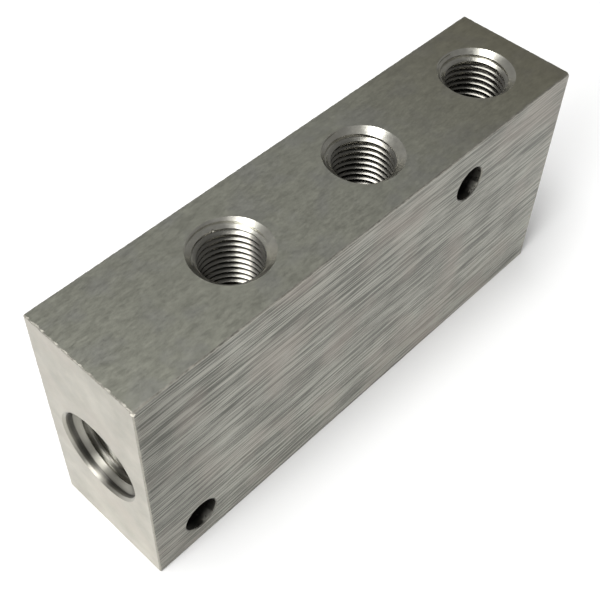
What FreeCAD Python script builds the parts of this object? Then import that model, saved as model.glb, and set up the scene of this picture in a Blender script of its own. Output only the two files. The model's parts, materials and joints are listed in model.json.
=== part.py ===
import FreeCAD, Part
import os

import Sketcher
from FreeCAD import Vector

# Air manifold block: one solid bar, drilled along its length from the inlet end and tapped for one inlet
# and a row of outlets, with two holes across it for the bolts that hold it.
# Frame: the bar stands on its bottom face with the origin below its middle, +X from the inlet end to the
# closed end, +Y across the bar and +Z up through the outlets. Lengths are in mm and angles in degrees.
sizes = {
    "block_width": 25.4,
    "block_height": 50.8,
    "edge_break": 0.3,
    "port_count": 3,
    "first_port_from_inlet_end": 31.35,
    "port_pitch": 32.0,
    "last_port_to_closed_end": 12.6,
    "port_bore_diameter": 11.45,
    "port_mouth_diameter": 15.0,
    "mouth_angle": 90.0,
    "inlet_height": 24.3,
    "inlet_bore_diameter": 14.95,
    "inlet_mouth_diameter": 18.6,
    "inlet_bore_depth": 20.0,
    "gallery_diameter": 12.0,
    "gallery_past_last_port": 2.0,
    "drill_point_angle": 118.0,
    "mounting_hole_diameter": 7.1,
    "mounting_hole_deburr": 0.2,
    "low_hole_from_inlet_end": 10.35,
    "low_hole_height": 7.35,
    "high_hole_below_top": 9.55,
}

# Places along the bar, measured from the inlet end: the high mounting hole lies midway between the last
# two ports, and the gallery ends just past the last port, so that the closed end stays thick.
last_port = "(Sizes.first_port_from_inlet_end + (Sizes.port_count - 1) * Sizes.port_pitch)"
block_length = f"({last_port} + Sizes.last_port_to_closed_end)"
gallery_depth = f"({last_port} + Sizes.gallery_past_last_port)"
high_hole_from_inlet_end = f"({last_port} - Sizes.port_pitch / 2)"

document = FreeCAD.newDocument("AirManifoldBlock")
sheet = document.addObject("Spreadsheet::Sheet", "Sizes")
for row, (alias, size) in enumerate(sizes.items(), start=1):
    sheet.set(f"A{row}", alias)
    sheet.set(f"B{row}", str(size))
    sheet.setAlias(f"B{row}", alias)
document.recompute()


def value_of(expression):
    """What an expression in the sheet's sizes comes to now."""
    return float(sheet.evalExpression(expression))


def origin_feature(body, role):
    """The body's own origin plane or axis with this role."""
    return next(item for item in body.Origin.OriginFeatures if item.Role == role)


def add_sketch(body, name, plane, offsets):
    """A sketch on an origin plane of the body, shifted along the plane's own axes by expressions."""
    sketch = body.newObject("Sketcher::SketchObject", name)
    sketch.AttachmentSupport = [(origin_feature(body, plane), "")]
    sketch.MapMode = "FlatFace"
    for direction, expression in offsets.items():
        sketch.setExpression(f"AttachmentOffset.Base.{direction}", expression)
    return sketch


def add_dimension(sketch, name, expression, kind, *places):
    """A named dimension that follows the sheet."""
    index = sketch.addConstraint(Sketcher.Constraint(kind, *places, value_of(expression)))
    sketch.renameConstraint(index, name)
    sketch.setExpression(f"Constraints.{name}", expression)


def place_point(sketch, name, geometry, vertex, across, up):
    """Dimensions a point of the sketch from its origin, or puts it on an axis where the expression is 0."""
    for suffix, kind, axis, expression in (
        ("across", "DistanceX", -2, across),
        ("up", "DistanceY", -1, up),
    ):
        if expression == "0":
            sketch.addConstraint(Sketcher.Constraint("PointOnObject", geometry, vertex, axis))
        else:
            add_dimension(sketch, f"{name}_{suffix}", expression, kind, -1, 1, geometry, vertex)


def add_profile(sketch, corners):
    """A closed outline of straight lines through named corners, each given by two expressions."""
    points = [Vector(value_of(across), value_of(up), 0) for name, across, up in corners]
    for index, (start, end) in enumerate(zip(points, points[1:] + points[:1])):
        sketch.addGeometry(Part.LineSegment(start, end))
        if index:
            sketch.addConstraint(Sketcher.Constraint("Coincident", index - 1, 2, index, 1))
    sketch.addConstraint(Sketcher.Constraint("Coincident", index, 2, 0, 1))
    for index, (name, across, up) in enumerate(corners):
        place_point(sketch, name, index, 1, across, up)


def add_circle(sketch, name, across, up, diameter):
    """A circle whose centre and diameter follow the sheet."""
    centre = Vector(value_of(across), value_of(up), 0)
    circle = Part.Circle(centre, Vector(0, 0, 1), value_of(diameter) / 2)
    index = sketch.addGeometry(circle)
    place_point(sketch, name, index, 3, across, up)
    add_dimension(sketch, f"{name}_diameter", diameter, "Diameter", index)


def bind(feature, expressions):
    """Ties properties of a feature to the sheet."""
    for name, expression in expressions.items():
        feature.setExpression(name, expression)


def check_cut(feature):
    """Stops the build where a cutting feature has taken nothing away."""
    document.recompute()
    if feature.Shape.Volume > feature.BaseFeature.Shape.Volume - 0.01:
        raise RuntimeError(f"{feature.Name} cuts nothing")


def pad_bar(body):
    """The bar itself, with every outer edge broken."""
    outline = add_sketch(body, "BarOutline", "XY_Plane", {})
    half_length = f"({block_length} / 2)"
    half_width = "(Sizes.block_width / 2)"
    add_profile(outline, [
        ("inlet_right", f"-{half_length}", f"-{half_width}"),
        ("closed_right", half_length, f"-{half_width}"),
        ("closed_left", half_length, half_width),
        ("inlet_left", f"-{half_length}", half_width),
    ])
    bar = body.newObject("PartDesign::Pad", "Bar")
    bar.Profile = outline
    bind(bar, {"Length": "Sizes.block_height"})
    document.recompute()
    broken_edges = body.newObject("PartDesign::Chamfer", "BrokenEdges")
    broken_edges.Base = (bar, [""])
    broken_edges.UseAllEdges = True
    bind(broken_edges, {"Size": "Sizes.edge_break"})
    check_cut(broken_edges)


def drill_ports(body):
    """The outlets: countersunk bores down into the gallery, in a row along the top."""
    centre = add_sketch(body, "FirstPort", "XY_Plane", {
        "x": f"Sizes.first_port_from_inlet_end - {block_length} / 2",
        "z": "Sizes.block_height",
    })
    add_circle(centre, "port", "0", "0", "Sizes.port_bore_diameter")
    document.recompute()
    port = body.newObject("PartDesign::Hole", "Port")
    port.Profile = centre
    port.ThreadType = "None"
    port.HoleCutType = "Countersink"
    port.DepthType = "Dimension"
    port.DrillPoint = "Angled"
    bind(port, {
        "Diameter": "Sizes.port_bore_diameter",
        "HoleCutDiameter": "Sizes.port_mouth_diameter",
        "HoleCutCountersinkAngle": "Sizes.mouth_angle",
        "Depth": "Sizes.block_height - Sizes.inlet_height",
        "DrillPointAngle": "Sizes.drill_point_angle",
    })
    check_cut(port)
    row_of_ports = body.newObject("PartDesign::LinearPattern", "RowOfPorts")
    row_of_ports.Originals = [port]
    row_of_ports.Direction = (origin_feature(body, "X_Axis"), [""])
    row_of_ports.Mode = "Spacing"
    bind(row_of_ports, {"Offset": "Sizes.port_pitch", "Occurrences": "Sizes.port_count"})
    body.Tip = row_of_ports
    check_cut(row_of_ports)


def drill_mounting_holes(body):
    """Two clearance holes across the bar, with their rims deburred on both sides."""
    centres = add_sketch(body, "MountingHoleCentres", "XZ_Plane", {
        "x": f"-{block_length} / 2",
        "z": "Sizes.block_width / 2",
    })
    diameter = "Sizes.mounting_hole_diameter"
    add_circle(centres, "low_hole", "Sizes.low_hole_from_inlet_end", "Sizes.low_hole_height", diameter)
    high_hole_height = "Sizes.block_height - Sizes.high_hole_below_top"
    add_circle(centres, "high_hole", high_hole_from_inlet_end, high_hole_height, diameter)
    document.recompute()
    holes = body.newObject("PartDesign::Hole", "MountingHoles")
    holes.Profile = centres
    holes.ThreadType = "None"
    holes.HoleCutType = "Countersink"
    holes.DepthType = "ThroughAll"
    bind(holes, {
        "Diameter": diameter,
        "HoleCutDiameter": f"{diameter} + 2 * Sizes.mounting_hole_deburr",
        "HoleCutCountersinkAngle": "Sizes.mouth_angle",
    })
    check_cut(holes)
    far_rims = body.newObject("PartDesign::Mirrored", "FarRims")
    far_rims.Originals = [holes]
    far_rims.MirrorPlane = (origin_feature(body, "XZ_Plane"), [""])
    body.Tip = far_rims
    check_cut(far_rims)


def bore_gallery(body):
    """The inlet's countersunk bore and the blind gallery behind it, turned about the bar's long axis."""
    half_profile = add_sketch(body, "InletAndGallery", "XZ_Plane", {
        "x": f"-{block_length} / 2",
        "y": "Sizes.inlet_height",
    })
    mouth = "(Sizes.inlet_mouth_diameter / 2)"
    bore = "(Sizes.inlet_bore_diameter / 2)"
    gallery = "(Sizes.gallery_diameter / 2)"
    drill_slope = "tan(Sizes.drill_point_angle * 1 deg / 2)"
    add_profile(half_profile, [
        ("inlet_centre", "0", "0"),
        ("mouth_rim", "0", mouth),
        ("bore_start", f"({mouth} - {bore}) / tan(Sizes.mouth_angle * 1 deg / 2)", bore),
        ("bore_end", "Sizes.inlet_bore_depth", bore),
        ("gallery_start", f"Sizes.inlet_bore_depth + ({bore} - {gallery}) / {drill_slope}", gallery),
        ("gallery_end", gallery_depth, gallery),
        ("drill_tip", f"{gallery_depth} + {gallery} / {drill_slope}", "0"),
    ])
    document.recompute()
    turned = body.newObject("PartDesign::Groove", "Gallery")
    turned.Profile = half_profile
    turned.ReferenceAxis = (half_profile, ["H_Axis"])
    turned.Angle = 360
    check_cut(turned)


def manifold_block():
    """The whole object, which is one piece of metal."""
    body = document.addObject("PartDesign::Body", "manifold_block")
    body.Label = "manifold_block"
    pad_bar(body)
    drill_ports(body)
    drill_mounting_holes(body)
    bore_gallery(body)
    return body


sub_parts = [manifold_block()]
document.recompute()
for item in document.Objects:
    if {"Invalid", "Error"} & set(item.State):
        raise RuntimeError(f"{item.Name} has failed: {item.State}")
for sub_part in sub_parts:
    if sub_part.Shape.isNull() or not sub_part.Shape.isValid():
        raise RuntimeError(f"{sub_part.Label} has no valid shape")

os.makedirs("parts", exist_ok=True)
for sub_part in sub_parts:
    box = sub_part.Shape.BoundBox
    print(sub_part.Label, f"{box.XLength:.2f} x {box.YLength:.2f} x {box.ZLength:.2f} mm,",
          f"{sub_part.Shape.Volume:.0f} mm3, {len(sub_part.Shape.Solids)} solid")
    sub_part.Shape.exportStep(f"parts/{sub_part.Label}.step")
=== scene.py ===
import json
import math

import bmesh
import bpy
from mathutils import Euler, Matrix, Vector, noise


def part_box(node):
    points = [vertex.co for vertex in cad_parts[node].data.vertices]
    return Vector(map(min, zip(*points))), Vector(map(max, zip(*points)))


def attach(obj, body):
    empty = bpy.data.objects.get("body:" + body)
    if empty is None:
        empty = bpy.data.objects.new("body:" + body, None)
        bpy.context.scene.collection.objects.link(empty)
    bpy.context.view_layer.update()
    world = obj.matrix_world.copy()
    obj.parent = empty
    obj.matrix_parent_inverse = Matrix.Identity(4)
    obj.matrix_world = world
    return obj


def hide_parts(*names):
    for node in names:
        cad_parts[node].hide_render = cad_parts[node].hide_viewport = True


# Air manifold block: one steel bar with a tapped inlet, three tapped outlets and two mounting holes

mm = 0.001  # lengths in the settings are in mm, and this turns them into Blender's metres
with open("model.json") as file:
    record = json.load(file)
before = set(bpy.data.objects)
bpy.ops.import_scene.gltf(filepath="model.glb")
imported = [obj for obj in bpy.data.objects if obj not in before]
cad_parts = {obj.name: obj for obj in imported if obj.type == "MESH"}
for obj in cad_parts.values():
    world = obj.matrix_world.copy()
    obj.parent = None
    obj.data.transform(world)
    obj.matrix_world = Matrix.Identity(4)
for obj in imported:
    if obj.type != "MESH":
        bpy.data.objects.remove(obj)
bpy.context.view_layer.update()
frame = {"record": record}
blockLow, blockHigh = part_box("manifold_block")
mounts = {mount["name"]: mount for mount in frame["record"]["mounts"]}
outletNames = sorted(name for name in mounts if name.startswith("outlet_"))
mountingHoleNames = sorted(name for name in mounts if name.startswith("mounting_hole_"))
inlet = mounts["inlet"]
galleryHeight = inlet["pos_m"][2]
scene = bpy.context.scene
print("frame loaded, block", [round(side / mm, 2) for side in blockHigh - blockLow], "mm")


# Camera, where the photograph was taken from

cameraSettings = {
    "location": (-98.59, -84.32, 175.14),
    "turn": (39.63, -1.29, -46.19),  # degrees about X, Y and Z
    "focalLength": 63.0,
    "sensorWidth": 36.0,
    "clipStart": 1.0,
}


def addCamera(settings):
    camera = bpy.data.objects.new("camera", bpy.data.cameras.new("camera"))
    camera.data.lens = settings["focalLength"]
    camera.data.sensor_width = settings["sensorWidth"]
    camera.data.clip_start = settings["clipStart"] * mm
    camera.location = Vector(settings["location"]) * mm
    camera.rotation_euler = Euler([math.radians(angle) for angle in settings["turn"]], "XYZ")
    scene.collection.objects.link(camera)
    scene.camera = camera


addCamera(cameraSettings)
print("camera placed")


# Metal finishes, one for each way a surface was cut, some with painted light and shade

# levels say where a noise starts to show and where it is full
noiseSettings = {
    "roughness": 0.55,
    "markDetail": 2.0,
    "cloudDetail": 3.0,
    "speckDetail": 0.0,
    "tintStretch": 1.7,  # tinted patches are this much larger than the clouds
    "tintLevels": (0.48, 0.66),
    "roughLevels": (0.35, 0.65),
    "speckLevels": (0.76, 0.84),
}

# bare metal along the borders of the flat faces
wearSettings = {
    "width": 0.9,
    "share": 0.35,
    "patchSize": 1.4,
    "patchLevels": (0.40, 0.62),
}

# a painted-light tone is (axis, start, end, colour), and from start to end the finish is multiplied with
# more of it, painting light or shade along the bar
topSettings = {
    "darkColour": (0.455, 0.457, 0.384),
    "lightColour": (0.57, 0.573, 0.482),
    # painted shade: darker and browner towards the closed end, and darker towards the inlet end
    "paintedLightTones": [(0, 10.0, 62.0, (0.673, 0.625, 0.54)), (0, -8.0, -60.0, (0.79, 0.79, 0.79))],
    "tintColour": (0.475, 0.475, 0.445),
    "tintShare": 0.5,
    "streakSize": (2.2, 0.8),  # length and width
    "grainSize": (0.8, 0.3),
    "grainShare": 0.5,
    "cloudSize": 3.6,
    "cloudShare": 0.4,
    "spread": 0.19,
    "markDepth": 0.002,
    "roughness": 0.37,
    "roughnessSpread": 0.04,
    "speckSize": 1.6,
    "speckShare": 0.10,
    "wornAxes": (0, 1),
}

sideSettings = {
    # painted shade: the side's colours are painted dark for the dimmer surroundings on this side
    "darkColour": (0.10, 0.10, 0.085),
    "lightColour": (0.37, 0.366, 0.325),
    # painted light and shade: darker towards the inlet end, and painted lighter towards the bottom
    # against the shade from the floor
    "paintedLightTones": [(0, -36.0, -72.0, (0.40, 0.40, 0.39)), (2, 28.0, 2.0, (1.24, 1.24, 1.24))],
    "tintColour": (0.33, 0.285, 0.25),
    "tintShare": 0.35,
    "streakSize": (24.0, 0.34),
    "grainSize": (8.0, 0.14),
    "grainShare": 0.5,
    "cloudSize": 8.0,
    "cloudShare": 0.12,
    "spread": 0.055,
    "markDepth": 0.012,
    "roughness": 0.44,
    "roughnessSpread": 0.10,
    "speckSize": 0.9,
    "speckShare": 0.05,
    "wornAxes": (0, 2),
}

endSettings = {
    "darkColour": (0.375, 0.36, 0.315),
    "lightColour": (0.49, 0.47, 0.415),
    "tintColour": (0.44, 0.40, 0.352),
    "tintShare": 0.45,
    "streakSize": (3.0, 2.2),
    "grainSize": (0.8, 0.5),
    "grainShare": 0.25,
    "cloudSize": 6.0,
    "cloudShare": 0.6,
    "spread": 0.11,
    "markDepth": 0.002,
    "roughness": 0.42,
    "roughnessSpread": 0.06,
    "speckSize": 1.0,
    "speckShare": 0.10,
    "wornAxes": (1, 2),
}

edgeSettings = {
    "darkColour": (0.28, 0.27, 0.235),
    "lightColour": (0.44, 0.426, 0.375),
    "tintColour": (0.40, 0.36, 0.31),
    "tintShare": 0.3,
    "streakSize": (1.2, 0.6),
    "grainSize": (0.5, 0.3),
    "grainShare": 0.4,
    "cloudSize": 2.0,
    "cloudShare": 0.4,
    "spread": 0.18,
    "markDepth": 0.004,
    "roughness": 0.50,
    "roughnessSpread": 0.06,
    "speckSize": 0.8,
    "speckShare": 0.2,
}

boreSettings = {
    "darkColour": (0.48, 0.47, 0.42),
    "lightColour": (0.60, 0.59, 0.53),
    "deepShadeColour": (0.24, 0.232, 0.208),  # painted shade deep inside the holes
    "deepRoughness": 0.24,
    "deepFrom": 1.3,  # from the nearest flat face
    "deepTo": 2.4,
    "tintColour": (0.42, 0.40, 0.34),
    "tintShare": 0.3,
    "streakSize": (1.5, 1.5),
    "grainSize": (0.4, 0.4),
    "grainShare": 0.3,
    "cloudSize": 3.0,
    "cloudShare": 0.5,
    "spread": 0.20,
    "markDepth": 0.0008,
    "roughness": 0.32,
    "roughnessSpread": 0.04,
    "speckSize": 0.6,
    "speckShare": 0.1,
}

inletSettings = {
    **boreSettings,
    # painted shade: the inlet's colours are darker than the other bores' and darker still deep inside
    "darkColour": (0.36, 0.345, 0.305),
    "lightColour": (0.46, 0.445, 0.395),
    "deepShadeColour": (0.155, 0.15, 0.135),
    "paintedFlankLight": (2.2, 2.2, 2.15),  # painted light: the flanks further in are painted brighter than the opened wall
    "flankRadii": (8.80, 8.65),
    "deepRoughness": 0.42,
    "deepFrom": 0.35,
    "deepTo": 1.0,
    "roughness": 0.42,
    "turned": 0.97,  # how far a glint is drawn out across the turning marks
    "turnedAxis": (1, 0, 0),
}

holeSettings = {
    **boreSettings,
    # painted shade: the mounting holes' walls are painted dark, darkest deep inside
    "darkColour": (0.17, 0.165, 0.145),
    "lightColour": (0.22, 0.215, 0.19),
    "deepShadeColour": (0.05, 0.048, 0.044),
    "deepRoughness": 0.29,
    "deepFrom": 0.4,
    "deepTo": 1.8,
    "roughness": 0.29,
    "turned": 0.97,
    "turnedAxis": (0, 1, 0),
}


def addNode(tree, kind, inputs, **properties):
    node = tree.nodes.new(kind)
    for name, value in properties.items():
        setattr(node, name, value)
    for name, value in inputs.items():
        if isinstance(value, bpy.types.NodeSocket):
            tree.links.new(value, node.inputs[name])
        else:
            node.inputs[name].default_value = value
    return node


def noiseOf(tree, place, size, detail):
    # size: one length in mm, or a length along the bar and a width across it
    along, across = size if isinstance(size, tuple) else (size, size)
    scale = (1 / (along * mm), 1 / (across * mm), 1 / (across * mm))
    stretched = addNode(tree, "ShaderNodeMapping", {"Vector": place, "Scale": scale}).outputs["Vector"]
    return addNode(tree, "ShaderNodeTexNoise", {
        "Vector": stretched, "Scale": 1.0, "Detail": detail,
        "Roughness": noiseSettings["roughness"]}).outputs["Fac"]


def rangeOf(tree, value, low, high, newLow=0.0, newHigh=1.0):
    return addNode(tree, "ShaderNodeMapRange", {
        "Value": value, "From Min": low, "From Max": high,
        "To Min": newLow, "To Max": newHigh}).outputs["Result"]


def blendOf(tree, share, one, other):
    mix = addNode(tree, "ShaderNodeMix", {"Factor": share, "A": one, "B": other}, data_type="FLOAT")
    return mix.outputs["Result"]


def colourMix(tree, share, one, other, blend="MIX"):
    # a Mix node's colours are its inputs 6 and 7 and its output 2
    one, other = [side if isinstance(side, bpy.types.NodeSocket) else (*side, 1)
                  for side in (one, other)]
    mix = addNode(tree, "ShaderNodeMix", {0: share, 6: one, 7: other},
                  data_type="RGBA", blend_type=blend)
    return mix.outputs[2]


def mathOf(tree, operation, one, other=0.0):
    return addNode(tree, "ShaderNodeMath", {0: one, 1: other}, operation=operation).outputs[0]


def vectorOf(tree, operation, *sides):
    return addNode(tree, "ShaderNodeVectorMath", dict(enumerate(sides)), operation=operation)


def nearestFace(tree, place, axes):
    # how far inside the block a point lies, measured along these axes
    parts = addNode(tree, "ShaderNodeSeparateXYZ", {"Vector": place})
    nearest = None
    for axis in axes:
        middle, half = (blockLow[axis] + blockHigh[axis]) / 2, (blockHigh[axis] - blockLow[axis]) / 2
        away = mathOf(tree, "ABSOLUTE", mathOf(tree, "SUBTRACT", parts.outputs[axis], middle))
        inside = mathOf(tree, "SUBTRACT", half, away)
        nearest = mathOf(tree, "MINIMUM", nearest, inside) if nearest else inside
    return nearest


def radiusInInlet(tree, place):
    # how far a point lies from the inlet's axis
    across = vectorOf(tree, "MULTIPLY_ADD", place, (0, 1, 1), (0, 0, -galleryHeight))
    return vectorOf(tree, "LENGTH", across.outputs[0]).outputs["Value"]


def wearOf(tree, place, axes):
    border = rangeOf(tree, nearestFace(tree, place, axes), 0.0, wearSettings["width"] * mm,
                     wearSettings["share"], 0.0)
    patches = noiseOf(tree, place, wearSettings["patchSize"], noiseSettings["cloudDetail"])
    return mathOf(tree, "MULTIPLY", border, rangeOf(tree, patches, *wearSettings["patchLevels"]))


def mottledColour(tree, place, marks, settings):
    clouds = noiseOf(tree, place, settings["cloudSize"], noiseSettings["cloudDetail"])
    mottle = blendOf(tree, settings["cloudShare"], marks, clouds)
    mottle = rangeOf(tree, mottle, 0.5 - settings["spread"], 0.5 + settings["spread"])
    colour = colourMix(tree, mottle, settings["darkColour"], settings["lightColour"])
    patches = noiseOf(tree, place, settings["cloudSize"] * noiseSettings["tintStretch"],
                      noiseSettings["markDetail"])
    tinted = rangeOf(tree, patches, *noiseSettings["tintLevels"], 0.0, settings["tintShare"])
    colour = colourMix(tree, tinted, colour, settings["tintColour"])
    # painted light and shade along the bar, multiplied onto the finish
    for axis, start, end, tone in settings.get("paintedLightTones", ()):
        along = addNode(tree, "ShaderNodeSeparateXYZ", {"Vector": place}).outputs[axis]
        colour = colourMix(tree, rangeOf(tree, along, start * mm, end * mm), colour, tone, "MULTIPLY")
    return colour


def drawOutGlints(tree, shader, settings):
    # turning marks run round the hole's axis, and a glint is drawn out a quarter turn away from them
    normal = addNode(tree, "ShaderNodeNewGeometry", {}).outputs["Normal"]
    around = vectorOf(tree, "CROSS_PRODUCT", normal, settings["turnedAxis"]).outputs[0]
    tree.links.new(around, shader.inputs["Tangent"])
    shader.inputs["Anisotropic"].default_value = settings["turned"]
    shader.inputs["Anisotropic Rotation"].default_value = 0.25


def steelFinish(name, settings):
    material = bpy.data.materials.new(name)
    material.use_nodes = True
    tree = material.node_tree
    shader = tree.nodes["Principled BSDF"]
    place = addNode(tree, "ShaderNodeTexCoord", {}).outputs["Object"]
    streaks = noiseOf(tree, place, settings["streakSize"], noiseSettings["markDetail"])
    grain = noiseOf(tree, place, settings["grainSize"], noiseSettings["markDetail"])
    marks = blendOf(tree, settings["grainShare"], streaks, grain)
    colour = mottledColour(tree, place, marks, settings)
    low, high = [settings["roughness"] + sign * settings["roughnessSpread"] for sign in (-1, 1)]
    rough = rangeOf(tree, marks, *noiseSettings["roughLevels"], low, high)
    # painted shade: the colour darkens with depth inside the holes, where the surface also turns
    # glossier
    if "deepShadeColour" in settings:
        inside = nearestFace(tree, place, (0, 1, 2))
        deep = rangeOf(tree, inside, settings["deepFrom"] * mm, settings["deepTo"] * mm)
        colour = colourMix(tree, deep, colour, settings["deepShadeColour"])
        rough = blendOf(tree, deep, rough, settings["deepRoughness"])
    # painted light on the inlet's flanks and threads inside the opened wall
    if "paintedFlankLight" in settings:
        outer, inner = settings["flankRadii"]
        paintedFlankShare = rangeOf(tree, radiusInInlet(tree, place), outer * mm, inner * mm)
        colour = colourMix(tree, paintedFlankShare, colour, settings["paintedFlankLight"], "MULTIPLY")
    specks = noiseOf(tree, place, settings["speckSize"], noiseSettings["speckDetail"])
    bare = rangeOf(tree, specks, *noiseSettings["speckLevels"], 0.0, settings["speckShare"])
    if "wornAxes" in settings:
        bare = mathOf(tree, "MAXIMUM", bare, wearOf(tree, place, settings["wornAxes"]))
    colour = colourMix(tree, bare, colour, edgeSettings["lightColour"])
    bump = addNode(tree, "ShaderNodeBump", {
        "Height": marks, "Strength": 1.0, "Distance": settings["markDepth"] * mm}).outputs["Normal"]
    for socket, source in (("Base Color", colour), ("Roughness", rough), ("Normal", bump)):
        tree.links.new(source, shader.inputs[socket])
    shader.inputs["Metallic"].default_value = 1.0
    if "turned" in settings:
        drawOutGlints(tree, shader, settings)
    return material


topFinish = steelFinish("rolledTopSteel", topSettings)
sideFinish = steelFinish("brushedSideSteel", sideSettings)
endFinish = steelFinish("facedEndSteel", endSettings)
edgeFinish = steelFinish("bareEdgeSteel", edgeSettings)
boreFinish = steelFinish("cutBoreSteel", boreSettings)
inletFinish = steelFinish("turnedInletSteel", inletSettings)
holeFinish = steelFinish("drilledHoleSteel", holeSettings)
finishes = [topFinish, sideFinish, endFinish, edgeFinish, boreFinish, inletFinish, holeFinish]
print("finishes mixed:", len(finishes))


# The bar: six flat faces with waved borders, a broken strip along each edge and a facet on each corner

barSettings = {
    "breakWidth": 0.24,
    "breakWave": 0.08,
    "chippedWave": 0.24,  # on the edge between the top and the inlet's face
    "waveLength": 0.8,
    "finerWave": (2.7, 0.5),  # a second wave, this much shorter and this much lower
    "narrowest": 0.08,
    # these only give every row of every strip its own place in the noise
    "rowPlace": 0.37,
    "stripPlaces": (7.3, 3.1, 5.7),
    "step": 0.25,
    "fadeSteps": 4,  # the waves fade out this many steps before a corner
    "roundness": 0.35,  # how far the middle of a strip stands out, as a share of its width
    "sharpAngle": 30.0,
}
corners = [(x, y, z) for x in (0, 1) for y in (0, 1) for z in (0, 1)]


def breakWidth(axis, flat, ends, along, settings):
    byAxis, byFirst, bySecond = settings["stripPlaces"]
    row = (axis + flat * settings["rowPlace"]) * byAxis
    sample = Vector((along / (settings["waveLength"] * mm), row + ends[0] * byFirst, ends[1] * bySecond))
    shorter, lower = settings["finerWave"]
    wave = noise.noise(sample) + lower * noise.noise(sample * shorter)
    chipped = axis == 1 and ends == (0, 1)
    swing = settings["chippedWave"] if chipped else settings["breakWave"]
    return max(settings["narrowest"], settings["breakWidth"] + swing * wave) * mm


def inwardFrom(corner, away):
    # the point this far inside the block from one of its corners, along each axis
    return [(blockLow, blockHigh)[corner[i]][i] + away[i] * (1 - 2 * corner[i]) for i in range(3)]


def addCorners(bm, settings):
    inset = settings["breakWidth"] * mm
    middleInset = inset * (1 - settings["roundness"]) / 2
    flatPoints, stripPoints = {}, {}
    for corner in corners:
        for flat in range(3):  # in the flat face whose normal is this axis
            away = [0 if i == flat else inset for i in range(3)]
            flatPoints[corner, flat] = bm.verts.new(inwardFrom(corner, away))
        for axis in range(3):  # in the middle of the strip that runs along this axis
            away = [inset if i == axis else middleInset for i in range(3)]
            stripPoints[corner, axis] = bm.verts.new(inwardFrom(corner, away))
    return flatPoints, stripPoints


def addStrip(bm, axis, ends, flatPoints, stripPoints, settings):
    # three rows of points along one edge: one in each flat face beside it, and one in the middle
    first, second = [i for i in range(3) if i != axis]
    inset = settings["breakWidth"] * mm
    low, high = blockLow[axis] + inset, blockHigh[axis] - inset
    count = max(2, round((high - low) / (settings["step"] * mm)))
    start = [0, 0, 0]
    start[first], start[second] = ends
    stop = [1 if i == axis else start[i] for i in range(3)]
    start, stop = tuple(start), tuple(stop)
    rows = {first: [flatPoints[start, first]], second: [flatPoints[start, second]],
            axis: [stripPoints[start, axis]]}
    for step in range(1, count):
        along = low + (high - low) * step / count
        fade = min(1, step / settings["fadeSteps"], (count - step) / settings["fadeSteps"])
        for flat in (first, second, axis):
            wide = inset + fade * (breakWidth(axis, flat, ends, along, settings) - inset)
            middle = wide * (1 - settings["roundness"]) / 2
            away = [0 if i == flat else middle if flat == axis else wide for i in range(3)]
            point = inwardFrom(start, away)
            point[axis] = along
            rows[flat].append(bm.verts.new(point))
    rows[first].append(flatPoints[stop, first])
    rows[second].append(flatPoints[stop, second])
    rows[axis].append(stripPoints[stop, axis])
    for one, other in ((rows[first], rows[axis]), (rows[axis], rows[second])):
        for step in range(count):
            strip = bm.faces.new((one[step], one[step + 1], other[step + 1], other[step]))
            strip.material_index = finishes.index(edgeFinish)
    return start, stop, rows


def addFlat(bm, flat, side, borders, finish):
    first, second = [i for i in range(3) if i != flat]
    around = []
    for one, other in ((0, 0), (1, 0), (1, 1), (0, 1)):
        corner = [side] * 3
        corner[first], corner[second] = one, other
        around.append(tuple(corner))
    loop = []
    for start, stop in zip(around, around[1:] + around[:1]):
        loop += borders[flat, start, stop][:-1]
    bm.faces.new(loop).material_index = finishes.index(finish)


def buildBar(settings):
    bm = bmesh.new()
    flatPoints, stripPoints = addCorners(bm, settings)
    borders = {}
    for axis in range(3):
        for ends in ((0, 0), (0, 1), (1, 0), (1, 1)):
            start, stop, rows = addStrip(bm, axis, ends, flatPoints, stripPoints, settings)
            for flat in rows:
                borders[flat, start, stop], borders[flat, stop, start] = rows[flat], rows[flat][::-1]
    for flat, finish in ((0, endFinish), (1, sideFinish), (2, topFinish)):
        for side in (0, 1):
            addFlat(bm, flat, side, borders, finish)
    for corner in corners:  # six small faces round a point of their own
        ring = [flatPoints[corner, 0], stripPoints[corner, 2], flatPoints[corner, 1],
                stripPoints[corner, 0], flatPoints[corner, 2], stripPoints[corner, 1]]
        peak = bm.verts.new(sum((vert.co for vert in ring), Vector()) / len(ring))
        for one, other in zip(ring, ring[1:] + ring[:1]):
            bm.faces.new((one, other, peak)).material_index = finishes.index(edgeFinish)
    bmesh.ops.recalc_face_normals(bm, faces=bm.faces)
    return bm


def addPiece(name, bm):
    mesh = bpy.data.meshes.new(name)
    bm.to_mesh(mesh)
    bm.free()
    for finish in finishes:
        mesh.materials.append(finish)
    piece = bpy.data.objects.new(name, mesh)
    scene.collection.objects.link(piece)
    return piece


block = addPiece("manifoldBlock", buildBar(barSettings))
print("bar built:", len(block.data.vertices), "points")


# Tools that cut the holes. Each one points down its hole's axis, which is its own -Z.

threadSettings = {
    "pitch": 25.4 / 19,  # both pipe sizes have 19 turns to the inch
    "groove": 0.70,
    "crestShare": 0.26,  # the bores were drilled before tapping, which leaves flat crests
    "rootBend": 0.15,
    "rootArc": 62.0,  # how far the rounded root bends to each side, in degrees
    "depth": 14.5,
    "runOut": 1.2,
    "segments": 96,
    "outletStarts": (0.27, 0.07, 0.80),  # where each thread begins, in turns
    "inletStart": 0.51,
    # in turns: the rows begin this far above the face, are closed off above that, and cut in slowly
    "turnsAbove": 2.2,
    "turnsToCap": 1.5,
    "fadeInAfter": 0.1,
    "fadeInOver": 0.5,
}

# behind its chamfer the inlet is opened out down to the root of its third turn
openMouthSettings = {
    "radius": 8.85,
    "turns": 3.45,
    "flankAngle": 27.5,
}

gallerySettings = {
    "radius": 6.0,
    "pastLastOutlet": 2.0,
    "drillPointAngle": 118.0,
}


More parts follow.
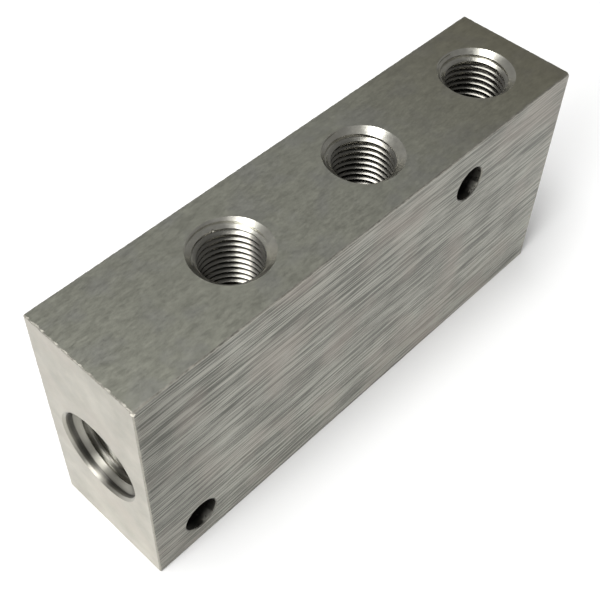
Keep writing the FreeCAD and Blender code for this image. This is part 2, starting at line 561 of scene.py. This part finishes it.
def ringOf(bm, radius, depth, segments):
    angles = [2 * math.pi * i / segments for i in range(segments)]
    return [bm.verts.new((radius * math.cos(a), radius * math.sin(a), -depth)) for a in angles]


def joinRings(bm, one, other):
    for i in range(len(one)):
        after = (i + 1) % len(one)
        bm.faces.new((one[i], one[after], other[after], other[i]))


def closeRing(bm, ring, depth):
    tip = bm.verts.new((0, 0, -depth))
    for i in range(len(ring)):
        bm.faces.new((ring[i], ring[(i + 1) % len(ring)], tip))


def turnedTool(profile, segments):
    # profile: (radius, depth) from the top down, closed at both ends on the axis
    bm = bmesh.new()
    rings = [ringOf(bm, radius, depth, segments) for radius, depth in profile[1:-1]]
    for one, other in zip(rings, rings[1:]):
        joinRings(bm, one, other)
    closeRing(bm, rings[0], profile[0][1])
    closeRing(bm, rings[-1], profile[-1][1])
    return bm


def toothPoints(settings):
    # one turn's (share of the groove's depth, share of the pitch): a flat crest, then a rounded root
    half, bend = settings["crestShare"] / 2, settings["rootBend"]
    points = [(0, -half), (0, half)]
    for share in (-1, -0.5, 0, 0.5, 1):
        angle = math.radians(share * settings["rootArc"])
        points.append((1 - bend * (1 - math.cos(angle)) / settings["groove"],
                       0.5 + bend * math.sin(angle) / settings["pitch"]))
    return points


def smooth(value):
    value = min(1, max(0, value))
    return value * value * (3 - 2 * value)


def threadRows(bm, radius, top, settings, opening):
    # one row of points a turn long for each point of the tooth, and one more to end the last turn
    pitch, segments = settings["pitch"] * mm, settings["segments"]
    groove, runOut = settings["groove"] * mm, settings["runOut"] * mm
    threadEnd = settings["depth"] * mm + runOut
    tooth = toothPoints(settings)
    turns = math.ceil((threadEnd - top) / pitch) + 1
    rows = []
    for turn in range(turns + 1):
        for depthShare, pitchShare in tooth if turn < turns else tooth[:1]:
            row = []
            for i in range(segments):
                depth = top + (turn + pitchShare - i / segments) * pitch
                fadeIn = smooth((depth - top - settings["fadeInAfter"] * pitch)
                                / (settings["fadeInOver"] * pitch))
                fadeOut = smooth((threadEnd - depth) / runOut)
                wide = radius + groove * depthShare * fadeIn * fadeOut
                if opening:
                    past = max(0, turn + pitchShare - opening["turns"]) * pitch
                    flank = past / math.tan(math.radians(opening["flankAngle"]))
                    wide = max(wide, opening["radius"] * mm - flank)
                angle = 2 * math.pi * i / segments
                row.append(bm.verts.new((wide * math.cos(angle), wide * math.sin(angle), -depth)))
            rows.append(row)
    return rows, len(tooth)


def tapTool(radius, start, below, settings, opening=None):
    # helical rows from above the face to past the run-out, then level rings for what lies below
    bm = bmesh.new()
    pitch, segments = settings["pitch"] * mm, settings["segments"]
    top = start * pitch - settings["turnsAbove"] * pitch
    rows, perTurn = threadRows(bm, radius, top, settings, opening)
    for one, other in zip(rows, rows[1:]):
        for i in range(segments - 1):
            bm.faces.new((one[i], one[i + 1], other[i + 1], other[i]))
    for i in range(perTurn, len(rows) - 1):  # across the seam the rows step up by one turn
        bm.faces.new((rows[i][-1], rows[i - perTurn][0], rows[i + 1 - perTurn][0], rows[i + 1][-1]))
    capDepth = top - settings["turnsToCap"] * pitch
    upper = ringOf(bm, radius, capDepth, segments)
    for i in range(segments - 1):
        bm.faces.new((upper[i], upper[i + 1], rows[0][i + 1], rows[0][i]))
    bm.faces.new([upper[-1], upper[0], rows[0][0]] + [rows[i][-1] for i in range(perTurn, -1, -1)])
    closeRing(bm, upper, capDepth)
    lowest = [ringOf(bm, wide, depth, segments) for wide, depth in below[:-1]]
    for i in range(segments - 1):
        bm.faces.new((rows[-1][i], rows[-1][i + 1], lowest[0][i + 1], lowest[0][i]))
    seam = [rows[i][0] for i in range(len(rows) - 1 - perTurn, len(rows))]
    bm.faces.new([rows[-1][-1]] + seam + [lowest[0][0], lowest[0][-1]])
    for one, other in zip(lowest, lowest[1:]):
        joinRings(bm, one, other)
    closeRing(bm, lowest[-1], below[-1][1])
    return bm


def stepTool(tipDepth, mark, settings):
    # cuts a step into a 90 degree cone: an upright wall that follows a spiral, and a ledge below it
    bm = bmesh.new()
    (fromAngle, fromRadius), (toAngle, toRadius) = mark["from"], mark["to"]
    count = round((toAngle - fromAngle) / settings["degreesPerPiece"])
    proud, down = settings["proud"] * mm, Vector((0, 0, -1))
    rows = []
    for step in range(count + 1):
        share = step / count
        angle = math.radians(fromAngle + share * (toAngle - fromAngle))
        bow = mark["bow"] * math.sin(math.pi * share)
        radius = (fromRadius + share * (toRadius - fromRadius) + bow) * mm
        outward = Vector((math.cos(angle), math.sin(angle), 0))
        place = radius * outward + (tipDepth - radius) * down
        thinned = min(1, settings["taper"] * share + settings["bluntness"],
                      settings["taper"] * (1 - share) + settings["bluntness"])
        tall = mark["height"] * mm * thinned
        rows.append([bm.verts.new(place - proud * down), bm.verts.new(place + tall * down),
                     bm.verts.new(place + tall * down - (tall + proud) * outward)])
    for one, other in zip(rows, rows[1:]):
        joinRings(bm, one, other)
    bm.faces.new(rows[0])
    bm.faces.new(rows[-1])
    return bm


def dentTool(radius):
    bm = bmesh.new()
    bmesh.ops.create_icosphere(bm, subdivisions=2, radius=radius)
    return bm


def chipTool(size, depth):
    # a cube whose lower face lies this far below the origin
    bm = bmesh.new()
    bmesh.ops.create_cube(bm, size=size)
    bmesh.ops.translate(bm, verts=bm.verts, vec=(0, 0, size / 2 - depth))
    return bm


def addTool(name, bm, place, turn, finish):
    bmesh.ops.recalc_face_normals(bm, faces=bm.faces)
    for face in bm.faces:
        face.material_index = finishes.index(finish)
    tool = addPiece(name, bm)
    tool.matrix_world = Matrix.Translation(place) @ turn
    return tool


toolLift = 2 * mm  # how far the turned tools reach out of the face that they cut
mountingHoleSegments = 64
towardsTop = Matrix.Identity(4)
towardsInlet = Matrix(((0, 0, -1, 0), (-1, 0, 0, 0), (0, 1, 0, 0), (0, 0, 0, 1)))
towardsNearSide = Matrix(((1, 0, 0, 0), (0, 0, -1, 0), (0, 1, 0, 0), (0, 0, 0, 1)))


def drillPoint(radius):
    return radius / math.tan(math.radians(gallerySettings["drillPointAngle"] / 2))


def countersink(mount, face):
    # a 90 degree cone: as wide at the face as the bore is, plus how deep the bore starts
    radius = mount["dims"]["r_mm"] * mm
    start = abs(Vector(mount["pos_m"]).dot(Vector(mount["axis"])) - face)
    wide, narrow = radius + start, radius / 2
    profile = [(0, -toolLift), (wide + toolLift, -toolLift), (narrow, wide - narrow), (0, wide)]
    return turnedTool(profile, threadSettings["segments"])


def outletMouth(name):
    return Vector((mounts[name]["pos_m"][0], mounts[name]["pos_m"][1], blockHigh.z))


def outletTools(name, start):
    outlet, mouth = mounts[name], outletMouth(name)
    radius = outlet["dims"]["r_mm"] * mm
    floorDepth = blockHigh.z - galleryHeight
    below = [(radius, floorDepth), (0, floorDepth + drillPoint(radius))]
    tap = tapTool(radius, start, below, threadSettings)
    return [addTool(name + "Tap", tap, mouth, towardsTop, boreFinish),
            addTool(name + "Cone", countersink(outlet, blockHigh.z), mouth, towardsTop, boreFinish)]


def inletTools():
    radius, galleryRadius = inlet["dims"]["r_mm"] * mm, gallerySettings["radius"] * mm
    boreEnd = abs(inlet["pos_m"][0] - blockLow.x) + inlet["dims"]["length_mm"] * mm
    pastLast = gallerySettings["pastLastOutlet"] * mm
    galleryEnd = mounts[outletNames[-1]]["pos_m"][0] - blockLow.x + pastLast
    below = [(radius, boreEnd), (galleryRadius, boreEnd + drillPoint(radius - galleryRadius)),
             (galleryRadius, galleryEnd), (0, galleryEnd + drillPoint(galleryRadius))]
    mouth = Vector((blockLow.x, 0, galleryHeight))
    tap = tapTool(radius, threadSettings["inletStart"], below, threadSettings, openMouthSettings)
    return [addTool("inletTap", tap, mouth, towardsInlet, inletFinish),
            addTool("inletCone", countersink(inlet, -blockLow.x), mouth, towardsInlet, inletFinish)]


def mountingHoleTool(name):
    hole = mounts[name]
    radius = hole["dims"]["r_mm"] * mm
    start = abs(hole["pos_m"][1] - blockLow.y)
    through = blockHigh.y - blockLow.y
    rim = radius + start + toolLift
    profile = [(0, -toolLift), (rim, -toolLift), (radius, start), (radius, through - start),
               (rim, through + toolLift), (0, through + toolLift)]
    mouth = Vector((hole["pos_m"][0], blockLow.y, hole["pos_m"][2]))
    drill = turnedTool(profile, mountingHoleSegments)
    return addTool(name + "Drill", drill, mouth, towardsNearSide, holeFinish)


tools = []
for name, start in zip(outletNames, threadSettings["outletStarts"]):
    tools += outletTools(name, start)
tools += inletTools()
tools += [mountingHoleTool(name) for name in mountingHoleNames]


# Steps in the outlets' cones where each thread comes in, tool marks, a dent and chipped corners

stepSettings = {
    "degreesPerPiece": 3,
    "proud": 0.1,  # how far its tool stands out of the cone
    "taper": 6.0,  # 6 thins a step out over the first and the last sixth of its length
    "bluntness": 0.02,
}

# from and to are places on a cone: (angle in degrees, radius)
coneSteps = {
    "outlet_1": [{"from": (-45, 5.75), "to": (160, 6.54), "bow": 0.0, "height": 0.40},
                 {"from": (-20, 6.48), "to": (135, 7.36), "bow": 0.10, "height": 0.30}],
    "outlet_2": [{"from": (-65, 5.88), "to": (160, 6.93), "bow": 0.0, "height": 0.42},
                 {"from": (78, 7.38), "to": (130, 7.44), "bow": 0.0, "height": 0.14}],
    "outlet_3": [{"from": (-75, 6.22), "to": (160, 6.88), "bow": 0.05, "height": 0.44},
                 {"from": (76, 7.24), "to": (120, 7.36), "bow": 0.0, "height": 0.20}],
}

dent = {"outlet": "outlet_1", "angle": 75, "radius": 6.20, "size": 0.28}

# a corner is 0 on the low side of the bar and 1 on the high side, along X, Y and Z
cornerChips = [
    {"corner": (0, 0, 1), "below": 0.95, "facing": (-0.50, -0.34, 0.80), "size": 1.1, "depth": 0.13},
    {"corner": (1, 0, 1), "below": 0.0, "facing": (0.55, -0.55, 0.60), "size": 4.0, "depth": 0.42},
]


def coneDepth(name):
    # how far below the top the tip of an outlet's cone would lie
    return mounts[name]["dims"]["r_mm"] * mm + abs(mounts[name]["pos_m"][2] - blockHigh.z)


for name, marks in coneSteps.items():
    for mark in marks:
        step = stepTool(coneDepth(name), mark, stepSettings)
        tools.append(addTool(name + "Step", step, outletMouth(name), towardsTop, boreFinish))

angle, radius = math.radians(dent["angle"]), dent["radius"] * mm
onCone = Vector((radius * math.cos(angle), radius * math.sin(angle), radius - coneDepth(dent["outlet"])))
pit = dentTool(dent["size"] * mm)
tools.append(addTool(dent["outlet"] + "Dent", pit, outletMouth(dent["outlet"]) + onCone, towardsTop,
                     edgeFinish))

for i, chip in enumerate(cornerChips):
    place = Vector([(blockLow, blockHigh)[side][axis] for axis, side in enumerate(chip["corner"])])
    place.z -= chip["below"] * mm
    turn = Vector(chip["facing"]).to_track_quat("Z", "Y").to_matrix().to_4x4()
    nick = chipTool(chip["size"] * mm, chip["depth"] * mm)
    tools.append(addTool("cornerChip" + str(i), nick, place, turn, edgeFinish))
print("tools made:", len(tools))


def cutWith(piece, tools):
    toolbox = bpy.data.collections.new("toolbox")
    scene.collection.children.link(toolbox)
    for tool in tools:
        toolbox.objects.link(tool)
        scene.collection.objects.unlink(tool)
    cut = piece.modifiers.new("cut", "BOOLEAN")
    cut.operation = "DIFFERENCE"
    cut.solver = "EXACT"
    cut.operand_type = "COLLECTION"
    cut.collection = toolbox
    cut.material_mode = "TRANSFER"
    bpy.context.view_layer.update()
    depsgraph = bpy.context.evaluated_depsgraph_get()
    result = bpy.data.meshes.new_from_object(piece.evaluated_get(depsgraph), depsgraph=depsgraph)
    piece.modifiers.clear()
    piece.data = result
    for tool in tools:
        bpy.data.objects.remove(tool)
    bpy.data.collections.remove(toolbox)


def sharpenSteps(mesh, angle):
    # smooth shading within a finish, sharp where two finishes meet
    mesh.shade_smooth()
    mesh.set_sharp_from_angle(angle=math.radians(angle))
    bm = bmesh.new()
    bm.from_mesh(mesh)
    for edge in bm.edges:
        if len({face.material_index for face in edge.link_faces}) > 1:
            edge.smooth = False
    bm.to_mesh(mesh)
    bm.free()


cutWith(block, tools)
sharpenSteps(block.data, barSettings["sharpAngle"])
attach(block, "root")
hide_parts("manifold_block")
print("holes cut:", len(block.data.polygons), "faces")


# Floor and light

stageSettings = {
    "floorSize": 4000.0,
    "floorColour": (0.95, 0.95, 0.945),
    "floorRoughness": 0.9,
    "skyColour": (1.0, 1.0, 1.0),
    "horizonStrength": 0.42,
    "zenithStrength": 0.16,
    "dimShare": 0.75,  # how bright the sky still is towards +X
    "keyPlace": (-1050.0, -115.0, 1050.0),
    "keySize": (640.0, 1500.0),  # across and up
    "keyPower": 19.0,
    "overheadPlace": (-280.0, 160.0, 1450.0),
    "overheadSize": (850.0, 850.0),
    "overheadPower": 13.0,
}


def addFloor(settings):
    bm = bmesh.new()
    bmesh.ops.create_grid(bm, x_segments=1, y_segments=1, size=settings["floorSize"] * mm / 2)
    mesh = bpy.data.meshes.new("studioFloor")
    bm.to_mesh(mesh)
    bm.free()
    floor = bpy.data.objects.new("studioFloor", mesh)
    scene.collection.objects.link(floor)
    floor.location.z = blockLow.z
    material = bpy.data.materials.new("paleFloor")
    material.use_nodes = True
    shader = material.node_tree.nodes["Principled BSDF"]
    shader.inputs["Base Color"].default_value = (*settings["floorColour"], 1)
    shader.inputs["Roughness"].default_value = settings["floorRoughness"]
    mesh.materials.append(material)


def addSoftLight(name, place, size, power):
    light = bpy.data.objects.new(name, bpy.data.lights.new(name, "AREA"))
    light.data.shape = "RECTANGLE"
    light.data.size, light.data.size_y = size[0] * mm, size[1] * mm
    light.data.energy = power
    light.location = Vector(place) * mm
    target = (blockLow + blockHigh) / 2
    light.rotation_euler = (target - light.location).to_track_quat("-Z", "Y").to_euler()
    scene.collection.objects.link(light)


def addSky(settings):
    # brighter towards the horizon than overhead, and dimmer towards +X
    world = bpy.data.worlds.new("softSky")
    world.use_nodes = True
    tree = world.node_tree
    direction = addNode(tree, "ShaderNodeTexCoord", {}).outputs["Generated"]
    parts = addNode(tree, "ShaderNodeSeparateXYZ", {"Vector": direction})
    strength = rangeOf(tree, parts.outputs["Z"], 0.0, 1.0, settings["horizonStrength"],
                       settings["zenithStrength"])
    dimming = rangeOf(tree, parts.outputs["X"], 0.0, 1.0, 1.0, settings["dimShare"])
    strength = mathOf(tree, "MULTIPLY", strength, dimming)
    tree.links.new(strength, tree.nodes["Background"].inputs["Strength"])
    tree.nodes["Background"].inputs["Color"].default_value = (*settings["skyColour"], 1)
    scene.world = world


addFloor(stageSettings)
addSky(stageSettings)
for light in ("key", "overhead"):
    addSoftLight(light + "Light", stageSettings[light + "Place"], stageSettings[light + "Size"],
                 stageSettings[light + "Power"])
scene.view_settings.view_transform = "Standard"
print("stage lit")
